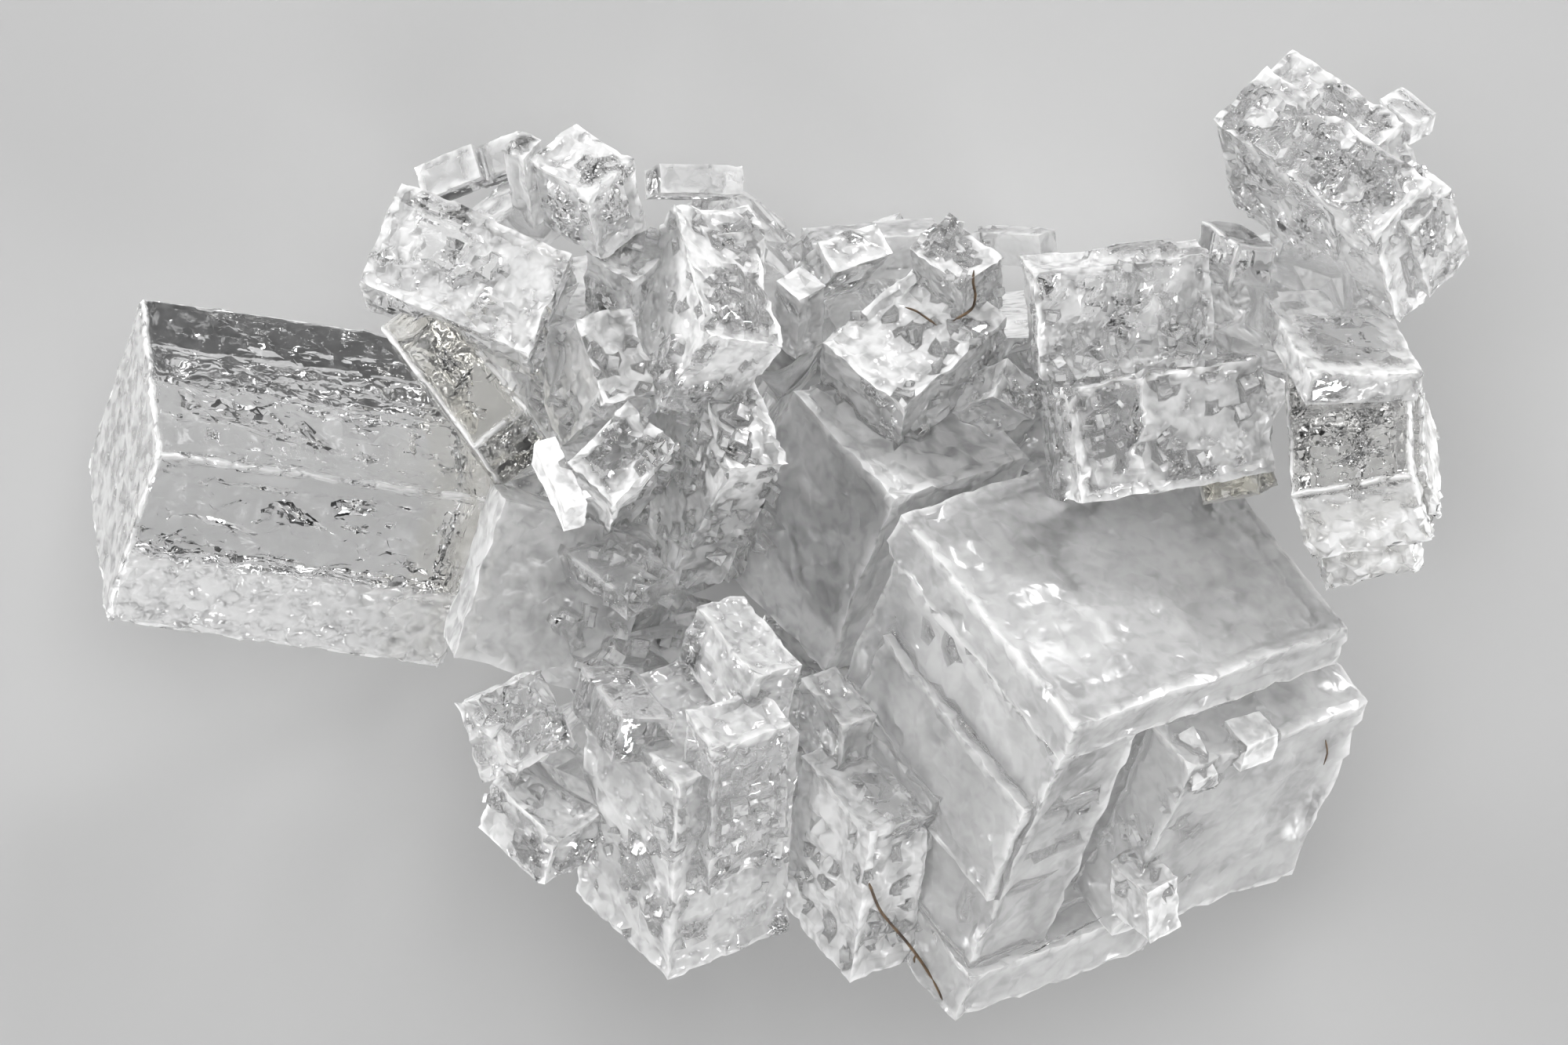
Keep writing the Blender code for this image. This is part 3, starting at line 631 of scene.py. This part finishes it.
def grown_together(name, meshes):
    """One mesh with everything that the given overlapping closed meshes cover."""
    parts = bpy.data.collections.new(name)
    bpy.context.scene.collection.children.link(parts)
    first = bpy.data.objects.new(name, meshes[0])
    bpy.context.scene.collection.objects.link(first)
    for mesh in meshes[1:]:
        parts.objects.link(bpy.data.objects.new(name, mesh))
    union = first.modifiers.new("grown together", "BOOLEAN")
    union.operation = "UNION"
    union.solver = "MANIFOLD"
    union.operand_type = "COLLECTION"
    union.collection = parts
    result = bpy.data.meshes.new_from_object(first.evaluated_get(bpy.context.evaluated_depsgraph_get()))
    for shell in [first, *parts.objects]:
        bpy.data.objects.remove(shell)
    bpy.data.collections.remove(parts)
    return result


crystal_rng = np.random.default_rng(CRYSTAL_SEED)
crystal_meshes = []
visible_frames = {}
for name, (finish_name, corner, *plan_edges) in CRYSTALS.items():
    visible_frames[name] = corner_frame(corner, *plan_edges)
    bands, panes = BANDS.get(name, ()), PANES.get(name, ())
    crystal_meshes.append(crystal_mesh(visible_frames[name], finish_name, crystal_rng, bands, panes))
for name, ((finish_name, corner, *plan_edges), parts) in BUILT_UP_CRYSTALS.items():
    visible_frames[name] = corner_frame(corner, *plan_edges)
    for part_name, spans in parts.items():
        part = part_frame(visible_frames[name], spans)
        bands, panes = BANDS.get(name, ()), PANES.get(f"{name}, {part_name}", ())
        crystal_meshes.append(crystal_mesh(part, finish_name, crystal_rng, bands, panes))
for hidden_crystals, level_foot in ((FOOT_CRYSTALS, True), (LEANING_CUBES, False)):
    for centre, size, turn in hidden_crystals.values():
        hidden_box = centred_frame(centre, size, turn)
        crystal_meshes.append(crystal_mesh(hidden_box, "hidden", crystal_rng, level_foot=level_foot))
cluster_mesh = grown_together("halite cluster", crystal_meshes)


# Crumbs. Small cubes that grew last, crowded where the large crystals meet. Those of one crowd lean by a
# few degrees from each other, and each is half sunk in the salt below it.
CRUMB_SIZE = (0.03, 0.13)
CRUMB_LEAN = 16
# How far a crumb's middle stands out of the salt, as a share of its least side, and its finish.
CRUMB_RISE = 0.1
CRUMB_FINISH = {"frost": 0.3, "milk": 0.1, "edge": 0.2}
CRUMB_SEED = 31
# Places on the salt are found by looking down from here.
HIGH_ABOVE = 10
# Points with more milk than this are shaded smooth, apart from edges sharper than this angle.
SOFT_MILK = 0.2
SHARP_ANGLE = 28
# Each crowd: its middle (x, y), its reach and how many crumbs it has.
CROWDS = {
    "below the window crystal": ((-0.5, 0.15), 0.55, 80),
    "left of the heart": ((-1.5, 1.0), 0.4, 30),
    "above the front left block": ((-1.1, -0.6), 0.5, 44),
    "heart": ((-0.7, 0.9), 0.6, 44),
    "rough peak": ((-0.5, 1.9), 0.5, 26),
    "front left block, right face": ((-0.2, -2.2), 0.6, 30),
    "front left block, left face": ((-1.0, -2.5), 0.5, 20),
    "lower left cubes": ((-1.9, -1.6), 0.5, 24),
    "step of the square block": ((2.2, 1.1), 0.4, 26),
    "square block": ((2.9, 0.9), 0.6, 24),
    "square block top": ((2.5, 1.6), 0.5, 16),
    "front step": ((2.8, -2.3), 0.4, 18),
    "upper right box": ((4.1, 2.5), 0.6, 26),
    "right end": ((4.95, 2.1), 0.35, 26),
    "bright block": ((1.2, 1.5), 0.6, 26),
    "rough cube": ((1.4, 2.0), 0.3, 18),
    "top edge": ((0.0, 2.1), 0.3, 16),
    "bright front block": ((0.6, -2.7), 0.45, 22),
}


def surface_of(mesh):
    """What rays from above are cast on."""
    points = [vertex.co for vertex in mesh.vertices]
    return BVHTree.FromPolygons(points, [polygon.vertices for polygon in mesh.polygons])


def straight_down(surface, x, y):
    """Where the salt's surface lies at a place in the plan, and which way it faces."""
    return surface.ray_cast(Vector((x, y, HIGH_ABOVE)), Vector((0, 0, -1)))[:2]


def skin_attributes(mesh, local, finish):
    """Gives every point of a small piece the same frost, milk and edge, and its place."""
    for name, value in (*finish.items(), ("tint", 0.0)):
        values = np.full(len(mesh.vertices), value, np.float32)
        mesh.attributes.new(name, "FLOAT", "POINT").data.foreach_set("value", values)
    place = mesh.attributes.new("place", "FLOAT_VECTOR", "POINT")
    place.data.foreach_set("vector", np.asarray(local, np.float32).ravel())


def small_cube(centre, size, turn, finish, hollow=False):
    """A plain box a few hundredths of a millimetre wide. A hollow one faces inwards."""
    spin = np.array(Euler([math.radians(angle) for angle in turn]).to_matrix())
    local = np.array([(x, y, z) for z in (-0.5, 0.5) for y in (-0.5, 0.5) for x in (-0.5, 0.5)]) * size
    sides = ((0, 2, 3, 1), (4, 5, 7, 6), (0, 1, 5, 4), (2, 6, 7, 3), (0, 4, 6, 2), (1, 3, 7, 5))
    mesh = bpy.data.meshes.new("small cube")
    points = local @ spin.T + np.array(centre)
    mesh.from_pydata(points.tolist(), [], [side[::-1] if hollow else side for side in sides])
    skin_attributes(mesh, local + points, finish)
    return mesh


def shade_milky_smooth(mesh):
    """Milky crystals have soft waves, and all others sharp facets."""
    milk = np.zeros(len(mesh.vertices), np.float32)
    mesh.attributes["milk"].data.foreach_get("value", milk)
    least = np.array([min(milk[number] for number in polygon.vertices) for polygon in mesh.polygons])
    mesh.polygons.foreach_set("use_smooth", least > SOFT_MILK)
    mesh.set_sharp_from_angle(angle=math.radians(SHARP_ANGLE))


bare_surface = surface_of(cluster_mesh)
crumb_rng = np.random.default_rng(CRUMB_SEED)
crumb_meshes = []
for (x, y), reach, count in CROWDS.values():
    crowd_turn = crumb_rng.uniform(0, 90, 3)
    for _ in range(count):
        bearing, distance = crumb_rng.uniform(0, 2 * math.pi), reach * math.sqrt(crumb_rng.random())
        away_x, away_y = distance * math.cos(bearing), distance * math.sin(bearing)
        spot, normal = straight_down(bare_surface, x + away_x, y + away_y)
        size = CRUMB_SIZE[0] + (CRUMB_SIZE[1] - CRUMB_SIZE[0]) * crumb_rng.random(3) ** 2
        turn = crowd_turn + crumb_rng.uniform(-CRUMB_LEAN, CRUMB_LEAN, 3)
        if spot is not None:
            crumb_meshes.append(small_cube(spot + normal * CRUMB_RISE * min(size), size, turn, CRUMB_FINISH))
cluster_mesh = grown_together("halite cluster with crumbs", [cluster_mesh, *crumb_meshes])
shade_milky_smooth(cluster_mesh)
salt_surface = surface_of(cluster_mesh)


# Flaws inside the crystals: brine pockets, which are small square hollows in line with the crystal, and
# healed cracks, which are thin wavy gaps near its cleavage planes.
# How many pockets and cracks a crystal has.
FLAWS = {
    "long clear box": (40, 5),
    "upper left block": (50, 8),
    "clear bar": (16, 6),
    "top left cube": (24, 4),
    "rough peak": (20, 5),
    "bright block": (30, 6),
    "square block": (80, 9),
    "square block top": (50, 6),
    "gap crystal": (16, 4),
    "upper right box": (80, 10),
    "hanging box": (50, 12),
    "shelf": (20, 3),
    "biggest cube": (60, 8),
    "smooth block": (20, 4),
    "front left block": (60, 8),
    "bright front block": (20, 5),
    "lower left clear cube": (20, 4),
    "dark column": (24, 4),
    "peaked block": (20, 3),
    "frosted wall": (14, 3),
}
# Long narrow cracks just under a face: start, end and width.
SCARS = (
    ((-3.95, 1.23), (-3.5, 1.0), 0.06),
    ((-3.52, 1.02), (-3.1, 0.84), 0.07),
    ((-4.5, -0.15), (-4.2, 0.01), 0.03),
    ((1.8, -3.17), (2.5, -2.83), 0.03),
    ((2.06, -1.85), (1.8, -2.5), 0.03),
    ((3.62, -2.05), (3.9, -1.96), 0.02),
    ((3.84, -1.78), (4.02, -1.7), 0.02),
    ((3.2, -2.55), (3.45, -2.44), 0.03),
    ((1.2, -1.2), (1.6, -1.62), 0.04),
    ((0.8, -0.55), (1.15, -1.0), 0.04),
    ((2.6, -0.2), (3.1, -0.55), 0.03),
    ((3.3, -0.3), (3.75, -0.7), 0.03),
    ((1.6, 0.0), (2.0, -0.35), 0.03),
)
SCAR_DEPTH = 0.035
# Pockets and cracks lie between these shares of the crystal's edges.
POCKET_PLACES = (0.12, 0.88)
CRACK_PLACES = (0.3, 0.7)
POCKET_SIZE = (0.012, 0.05)
# A crack leans a little, in radians. It reaches no further than a share of the shortest edge, is slimmer
# one way than the other, and has a ragged outline and a slight wave.
CRACK_LEAN = 0.25
CRACK_REACH = (0.08, 0.4)
CRACK_ROOM = 0.28
CRACK_SLIMNESS = 0.6
CRACK_RAGGED = 0.5
CRACK_WAVE = 0.012
CRACK_GAP = 0.004
CRACK_POINTS = 12
CRACK_RINGS = 4
CLEAR_FINISH = {"frost": 0.0, "milk": 0.0, "edge": 0.0}
FLAW_SEED = 12


def random_place(crystal, span, rng):
    """A place inside a crystal, between the given shares of its edges."""
    corner, edges = crystal
    return corner + sum((edge * share for edge, share in zip(edges, rng.uniform(*span, 3))), Vector())


def crack_mesh(centre, directions, reach, rng, slimness=CRACK_SLIMNESS):
    """A thin ragged gap that faces inwards. The first of its three directions is its normal."""
    outline = reach * (1 - CRACK_RAGGED + CRACK_RAGGED * rng.random(CRACK_POINTS))
    angles = np.linspace(0, 2 * math.pi, CRACK_POINTS, endpoint=False)
    flat = [np.zeros((1, 2))]
    for ring in range(1, CRACK_RINGS + 1):
        radius = outline * ring / CRACK_RINGS
        flat.append(np.stack([radius * np.cos(angles), slimness * radius * np.sin(angles)], axis=1))
    flat = np.concatenate(flat)
    wave = rng.normal(0, CRACK_WAVE, len(flat))
    gap = np.full(len(flat), CRACK_GAP / 2)
    gap[-CRACK_POINTS:] = 0
    inner = len(flat) - CRACK_POINTS
    upper = np.column_stack([wave + gap, flat])
    lower = np.column_stack([wave - gap, flat])[:inner]

    def under(number):
        return number + len(flat) if number < inner else number

    faces = []
    for step in range(CRACK_POINTS):
        following = (step + 1) % CRACK_POINTS
        top = [(0, 1 + step, 1 + following)]
        for ring in range(CRACK_RINGS - 1):
            near, far = 1 + ring * CRACK_POINTS, 1 + (ring + 1) * CRACK_POINTS
            top.append((near + step, far + step, far + following, near + following))
        faces += [face[::-1] for face in top] + [tuple(under(number) for number in face) for face in top]
    points = np.concatenate([upper, lower]) @ np.array(directions) + np.array(centre)
    mesh = bpy.data.meshes.new("crack")
    mesh.from_pydata(points.tolist(), [], faces)
    skin_attributes(mesh, points, CLEAR_FINISH)
    return mesh


def all_in_one(name, meshes):
    """One mesh that holds the given meshes side by side."""
    holders = [bpy.data.objects.new(name, mesh) for mesh in meshes]
    for holder in holders:
        bpy.context.scene.collection.objects.link(holder)
    with bpy.context.temp_override(active_object=holders[0], selected_editable_objects=holders):
        bpy.ops.object.join()
    whole = holders[0].data
    bpy.data.objects.remove(holders[0])
    return whole


flaw_rng = np.random.default_rng(FLAW_SEED)
flaw_meshes = []
for name, (pockets, cracks) in FLAWS.items():
    edges = visible_frames[name][1]
    turn_matrix = Matrix([edge.normalized() for edge in edges]).transposed()
    if turn_matrix.determinant() < 0:
        turn_matrix.col[2] *= -1
    turn = [math.degrees(angle) for angle in turn_matrix.to_euler()]
    for _ in range(pockets):
        centre = random_place(visible_frames[name], POCKET_PLACES, flaw_rng)
        size = POCKET_SIZE[0] + (POCKET_SIZE[1] - POCKET_SIZE[0]) * flaw_rng.random(3) ** 2
        flaw_meshes.append(small_cube(centre, size, turn, CLEAR_FINISH, hollow=True))
    for _ in range(cracks):
        centre = random_place(visible_frames[name], CRACK_PLACES, flaw_rng)
        first = flaw_rng.integers(0, 3)
        axes = [turn_matrix.col[(first + step) % 3] for step in range(3)]
        lean = Euler(flaw_rng.normal(0, CRACK_LEAN, 3)).to_matrix()
        reach = min(flaw_rng.uniform(*CRACK_REACH), CRACK_ROOM * min(edge.length for edge in edges))
        flaw_meshes.append(crack_mesh(centre, [lean @ axis for axis in axes], reach, flaw_rng))
for start, end, width in SCARS:
    (first_spot, normal), (last_spot, _) = (straight_down(bare_surface, *place) for place in (start, end))
    along = last_spot - first_spot
    across = normal.cross(along).normalized()
    normal = along.cross(across).normalized()
    centre = (first_spot + last_spot) / 2 - normal * SCAR_DEPTH
    directions = [normal, along.normalized(), across]
    flaw_meshes.append(crack_mesh(centre, directions, along.length / 2, flaw_rng, width / along.length))
cluster_mesh = all_in_one("halite cluster with flaws", [cluster_mesh, *flaw_meshes])


# Salt is clear glass to the light. Etched faces carry rime, fine white relief with clear windows left in
# it, and the largest cubes are milky with trapped brine. From inside, every face is clear.
SALT_IOR = 1.544
CLEAR_COLOUR = (0.93, 0.93, 0.93, 1)
HONEY_COLOUR = (0.92, 0.88, 0.74, 1)
MILK_COLOUR = (0.51, 0.51, 0.51, 1)
MILK_DEPTH = 0.35
RIME_COLOUR = (0.86, 0.86, 0.86, 1)
# The noise of the etching and of the milk's haze. FROM is the range of the noise that is spread over 0 to
# 1, LEAST is the share where it is 0, and MORE is what it adds where it is 1.
ETCHING = {"Scale": 8.5, "Detail": 1.5, "Roughness": 0.5}
ETCHED_FROM, ETCHED_LEAST, ETCHED_MORE = (0.32, 0.62), 0.5, 0.6
WORN_FROM = (0.3, 0.5)
HAZE = {"Scale": 1.8, "Detail": 1.0, "Roughness": 0.5}
HAZE_FROM, HAZE_LEAST, HAZE_MORE = (0.32, 0.68), 0.4, 0.95
# The fine relief of full frost, and the share of it that a worn edge has.
RELIEF_DEPTH = 0.035
EDGE_RELIEF = 0.5
# How rough clear salt is, and what full etching and full milk add to that.
CLEAR_ROUGHNESS = 0.01
ETCHED_ROUGHNESS = 0.06
MILK_ROUGHNESS = 0.35
# How rough milky salt and rime are.
MILKY_ROUGHNESS = 0.22
RIME_ROUGHNESS = 0.4
# How much of an etched face and of a worn edge is covered by rime.
ETCHED_COVER = 0.8
WORN_COVER = 0.9

salt, s = new_material("salt")
place = s.value("ShaderNodeAttribute", "Vector", {"attribute_name": "place"})
frost, milk, edge, tint = (
    s.value("ShaderNodeAttribute", "Fac", {"attribute_name": name})
    for name in ("frost", "milk", "edge", "tint")
)
outside = 1 - s.value("ShaderNodeNewGeometry", "Backfacing")
etching = s.value("ShaderNodeTexNoise", Vector=place, **ETCHING)
etched = frost * (etching.between(*ETCHED_FROM) * ETCHED_MORE + ETCHED_LEAST)
worn = edge * etching.between(*WORN_FROM)
relief = (frost + edge * EDGE_RELIEF) * etching
bump = s.value("ShaderNodeBump", Strength=1.0, Distance=RELIEF_DEPTH * MM, Height=relief)
clear = s.value(
    "ShaderNodeBsdfPrincipled",
    Base_Color=tint.mixed(CLEAR_COLOUR, HONEY_COLOUR),
    Roughness=CLEAR_ROUGHNESS + etched * ETCHED_ROUGHNESS + milk * MILK_ROUGHNESS,
    IOR=SALT_IOR,
    Transmission_Weight=1.0,
    Normal=bump,
)
milky = s.value(
    "ShaderNodeBsdfPrincipled",
    Base_Color=MILK_COLOUR,
    Roughness=MILKY_ROUGHNESS,
    IOR=SALT_IOR,
    Subsurface_Weight=1.0,
    Subsurface_Radius=(1, 1, 1),
    Subsurface_Scale=MILK_DEPTH * MM,
    Normal=bump,
)
rime = s.value(
    "ShaderNodeBsdfPrincipled", Base_Color=RIME_COLOUR, Roughness=RIME_ROUGHNESS, IOR=SALT_IOR, Normal=bump
)
haze = s.value("ShaderNodeTexNoise", Vector=place, **HAZE)
cloud = milk * (haze.between(*HAZE_FROM) * HAZE_MORE + HAZE_LEAST) * outside
rimed = (etched * ETCHED_COVER + worn * WORN_COVER) * outside
skin = s.value("ShaderNodeMixShader", _0=cloud, _1=clear, _2=milky)
skin = s.value("ShaderNodeMixShader", _0=rimed, _1=skin, _2=rime)
s.node("ShaderNodeOutputMaterial", Surface=skin)

cluster_mesh.transform(Matrix.Translation((*CLUSTER_SHIFT, 0)))
cluster_mesh.transform(Matrix.Scale(MM, 4))
cluster_mesh.materials.clear()
cluster_mesh.materials.append(salt)
cluster = bpy.data.objects.new("salt_cluster", cluster_mesh)
bpy.context.scene.collection.objects.link(cluster)
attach(cluster, "root")
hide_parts("halite_cluster")


# Lint. A few brown fibres of cotton lint have settled on the crystals. Each is a thin hair that lies
# where it fell, given by its radius and its bends, and is held just above the salt.
LINT = (
    (0.011, ((0.713, -2.585), (0.787, -2.773), (0.87, -2.887), (0.985, -3.02), (1.09, -3.16), (1.18, -3.3))),
    (0.009, ((1.18, -3.3), (1.23, -3.4), (1.25, -3.45))),
    (0.008, ((1.06, -3.12), (1.045, -3.15), (1.05, -3.18))),
    (0.01, ((1.476, 1.861), (1.471, 1.776), (1.488, 1.69), (1.476, 1.605), (1.436, 1.559), (1.322, 1.491))),
    (0.008, ((0.98, 1.593), (1.06, 1.565), (1.14, 1.51), (1.208, 1.462))),
    (0.007, ((4.04, -1.55), (4.055, -1.65), (4.03, -1.735))),
)
LINT_SIDES = 8
LINT_STEP = 0.03
# How many times a fibre is eased out over the hollows below it.
LINT_EASING = 12
# Shares of a fibre's radius: how far its middle is lifted, and how thick its ends are.
LINT_LIFT = 0.8
LINT_END = 0.4
LINT_COLOUR = (0.2, 0.13, 0.07, 1)
LINT_DARK_COLOUR = (0.06, 0.04, 0.03, 1)
# The noise of the strands that a fibre is spun of, which spreads its two colours, adds to its roughness
# and gives it a fine relief.
LINT_STRANDS = {"Scale": 9000.0, "Detail": 2.0}
LINT_COLOURS_FROM = (0.3, 0.7)
LINT_ROUGHNESS, LINT_ROUGHNESS_MORE = 0.55, 0.3
LINT_RELIEF = {"Strength": 0.6, "Distance": 0.003 * MM}


def lint_path(bends):
    """A smooth path over the salt through the given bends."""
    plan = [Vector(bend) for bend in bends]
    plan = [plan[0] * 2 - plan[1], *plan, plan[-1] * 2 - plan[-2]]
    path = []
    for before, start, end, after in zip(plan, plan[1:], plan[2:], plan[3:]):
        count = max(2, int((end - start).length / LINT_STEP))
        for t in np.linspace(0, 1, count, endpoint=False):
            turn = (2 * before - 5 * start + 4 * end - after) * t**2
            turn += (3 * start - before - 3 * end + after) * t**3
            path.append(start + ((end - before) * t + turn) / 2)
    path.append(plan[-2])
    hits = [straight_down(salt_surface, *spot)[0] for spot in path]
    lowest = min(hit.z for hit in hits if hit)
    heights = np.array([hit.z if hit else lowest for hit in hits])
    held = heights.copy()
    for _ in range(LINT_EASING):
        padded = np.concatenate([held[:1], held, held[-1:]])
        held = np.maximum(heights, (padded[:-2] + padded[1:-1] + padded[2:]) / 3)
    return [Vector((*spot, height)) for spot, height in zip(path, held)]


lint_points, lint_faces = [], []
for radius, bends in LINT:
    path = lint_path(bends)
    last = len(path) - 1
    for number, spot in enumerate(path):
        along = (path[min(number + 1, last)] - path[max(number - 1, 0)]).normalized()
        side = along.cross(Vector((0, 0, 1))).normalized()
        up = side.cross(along)
        width = radius * (LINT_END if number in (0, last) else 1.0)
        first = len(lint_points)
        for step in range(LINT_SIDES):
            angle = 2 * math.pi * step / LINT_SIDES
            around = (side * math.cos(angle) + up * math.sin(angle)) * width
            lint_points.append(spot + up * radius * LINT_LIFT + around)
            if number:
                here, following = first + step, first + (step + 1) % LINT_SIDES
                lint_faces.append((here, following, following - LINT_SIDES, here - LINT_SIDES))
        if number in (0, last):
            ring = tuple(range(first, first + LINT_SIDES))
            lint_faces.append(ring if number else ring[::-1])
lint_mesh = bpy.data.meshes.new("lint")
lint_mesh.from_pydata(lint_points, [], lint_faces)
lint_mesh.shade_smooth()
lint_mesh.transform(Matrix.Translation((*CLUSTER_SHIFT, 0)))
lint_mesh.transform(Matrix.Scale(MM, 4))

brown, b = new_material("brown lint")
strands = b.value("ShaderNodeTexNoise", Vector=b.value("ShaderNodeTexCoord", "Object"), **LINT_STRANDS)
fibre = b.value(
    "ShaderNodeBsdfPrincipled",
    Base_Color=strands.between(*LINT_COLOURS_FROM).mixed(LINT_DARK_COLOUR, LINT_COLOUR),
    Roughness=LINT_ROUGHNESS + strands * LINT_ROUGHNESS_MORE,
    Normal=b.value("ShaderNodeBump", Height=strands, **LINT_RELIEF),
)
b.node("ShaderNodeOutputMaterial", Surface=fibre)
lint_mesh.materials.append(brown)
lint = bpy.data.objects.new("lint_fibres", lint_mesh)
bpy.context.scene.collection.objects.link(lint)
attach(lint, "root")
